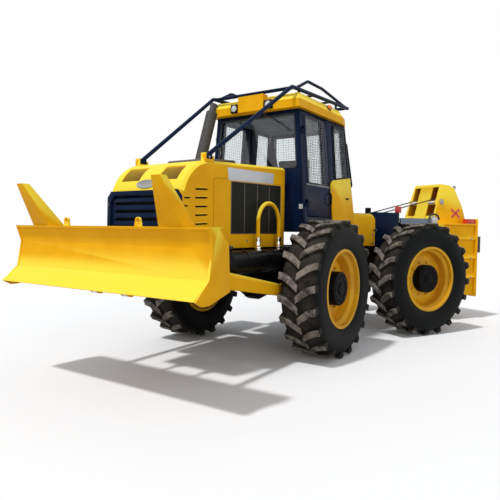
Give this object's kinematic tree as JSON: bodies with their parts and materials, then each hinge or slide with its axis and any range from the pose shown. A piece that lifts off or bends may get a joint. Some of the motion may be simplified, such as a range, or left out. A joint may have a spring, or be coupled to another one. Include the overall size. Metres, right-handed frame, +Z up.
{
  "type": "articulated log skidder",
  "caption": "Articulated four-wheel-drive forestry skidder with front blade, cab with limb guard, rear winch and cable tower, shown bent at its centre pivot.",
  "frame": {"origin": "middle of the machine's footprint on the floor, bent at rest", "axes": "+X towards the blade along the front half, +Y to the machine's left, +Z up"},
  "size_m": [7.103, 3.2909, 3.2926],
  "materials": {
    "yellow_paint": "satin",
    "wheel_yellow": "satin",
    "navy_paint": "gloss",
    "black_paint": "satin",
    "chrome": "polished",
    "glass": "gloss",
    "dark_iron": "matt",
    "steel_cable": "satin",
    "dark_mesh": "matt",
    "dark_trim": "matt",
    "lamp_lens": "gloss",
    "red_lens": "gloss",
    "tyre_rubber": "matt"
  },
  "bodies": {
    "machine_front": {"front_frame": "black_paint", "front_axle": "black_paint", "engine_block": "dark_iron", "hood": "yellow_paint", "front_grille": "navy_paint", "hood_screens": "dark_mesh", "hood_cover": "black_paint", "exhaust_stack": "dark_iron", "cab_frame": "navy_paint", "cab_glass": "glass", "cab_panels": "yellow_paint", "cab_roof": "yellow_paint", "roof_lamps": "lamp_lens", "limb_guard": "navy_paint", "side_tanks": "black_paint", "hose_hoop": "yellow_paint", "access_rails": "black_paint", "cab_seat": "dark_trim", "cab_controls": "dark_trim"},
    "machine_rear": {"rear_frame": "black_paint", "rear_axle": "black_paint", "winch_guard": "yellow_paint", "winch_drums": "dark_iron", "winch_cables": "steel_cable", "rear_boxes": "navy_paint", "cable_tower": "yellow_paint", "tower_rollers": "dark_iron", "rear_shield": "yellow_paint", "rear_lamps": "red_lens"},
    "blade": {"blade": "yellow_paint", "blade_horns": "yellow_paint", "push_arms": "yellow_paint"},
    "lift_barrels": {"lift_barrels": "black_paint"},
    "lift_rods": {"lift_rods": "chrome"},
    "door_left": {"cab_door_left": "navy_paint", "door_glass_left": "glass"},
    "door_right": {"cab_door_right": "navy_paint", "door_glass_right": "glass"},
    "steer_barrel_left": {"steer_barrel_left": "black_paint"},
    "steer_barrel_right": {"steer_barrel_right": "black_paint"},
    "steer_rod_left": {"steer_rod_left": "chrome"},
    "steer_rod_right": {"steer_rod_right": "chrome"},
    "wheel_front_left": {"wheel_front_left": "wheel_yellow", "tyre_front_left": "tyre_rubber"},
    "wheel_front_right": {"wheel_front_right": "wheel_yellow", "tyre_front_right": "tyre_rubber"},
    "wheel_rear_left": {"wheel_rear_left": "wheel_yellow", "tyre_rear_left": "tyre_rubber"},
    "wheel_rear_right": {"wheel_rear_right": "wheel_yellow", "tyre_rear_right": "tyre_rubber"}
  },
  "joints": [
    {"name": "articulation", "type": "hinge", "parent": "machine_front", "child": "machine_rear", "pos_m": [-0.493, -0.395, 0.94], "axis": [0, 0, 1], "range_deg": [-13, 67]},
    {"name": "blade_lift", "type": "hinge", "parent": "machine_front", "child": "blade", "pos_m": [1.347, -0.395, 0.78], "axis": [0, 1, 0], "range_deg": [-6, 24.5]},
    {"name": "door_left_swing", "type": "hinge", "parent": "machine_front", "child": "door_left", "pos_m": [0.807, 0.28476, 2.2], "axis": [0, 0.078, -0.997], "range_deg": [0, 80]},
    {"name": "door_right_swing", "type": "hinge", "parent": "machine_front", "child": "door_right", "pos_m": [0.807, -1.07476, 2.2], "axis": [0, 0.078, 0.997], "range_deg": [0, 80]},
    {"name": "lift_barrel_swing", "type": "hinge", "parent": "machine_front", "child": "lift_barrels", "pos_m": [2.097, -0.395, 1.15], "axis": [0, 1, 0], "range_deg": [-12, 38]},
    {"name": "lift_rod_slide", "type": "slide", "parent": "lift_barrels", "child": "lift_rods", "axis": [0.9752, 0, -0.2212], "range_m": [-0.09, 0.32]},
    {"name": "steer_barrel_left_swing", "type": "hinge", "parent": "machine_front", "child": "steer_barrel_left", "pos_m": [0.497, 0.105, 0.94], "axis": [0, 0, 1], "range_deg": [-12, 12]},
    {"name": "steer_rod_left_slide", "type": "slide", "parent": "steer_barrel_left", "child": "steer_rod_left", "axis": [-0.9941, -0.1088, 0], "range_m": [-0.098, 0.466]},
    {"name": "steer_barrel_right_swing", "type": "hinge", "parent": "machine_front", "child": "steer_barrel_right", "pos_m": [0.497, -0.895, 0.94], "axis": [0, 0, 1], "range_deg": [-12, 12]},
    {"name": "steer_rod_right_slide", "type": "slide", "parent": "steer_barrel_right", "child": "steer_rod_right", "axis": [-0.9889, 0.1483, 0], "range_m": [-0.457, 0.097]},
    {"name": "wheel_front_left_spin", "type": "hinge", "parent": "machine_front", "child": "wheel_front_left", "pos_m": [0.847, 0.62, 0.79], "axis": [0, 1, 0], "continuous": true},
    {"name": "wheel_front_right_spin", "type": "hinge", "parent": "machine_front", "child": "wheel_front_right", "pos_m": [0.847, -1.41, 0.79], "axis": [0, 1, 0], "continuous": true},
    {"name": "wheel_rear_left_spin", "type": "hinge", "parent": "machine_rear", "child": "wheel_rear_left", "pos_m": [-1.1816, 1.09502, 0.79], "axis": [0.454, 0.891, 0], "continuous": true},
    {"name": "wheel_rear_right_spin", "type": "hinge", "parent": "machine_rear", "child": "wheel_rear_right", "pos_m": [-2.1032, -0.71372, 0.79], "axis": [0.454, 0.891, 0], "continuous": true}
  ],
  "couplings": [
    {"joint": "lift_barrel_swing", "follows": "blade_lift", "ratio": 1.41},
    {"joint": "lift_rod_slide", "follows": "blade_lift", "m_per_rad": 0.64},
    {"joint": "steer_barrel_left_swing", "follows": "articulation", "ratio": 0.0425},
    {"joint": "steer_rod_left_slide", "follows": "articulation", "m_per_rad": 0.39},
    {"joint": "steer_barrel_right_swing", "follows": "articulation", "ratio": 0.04},
    {"joint": "steer_rod_right_slide", "follows": "articulation", "m_per_rad": -0.382}
  ]
}
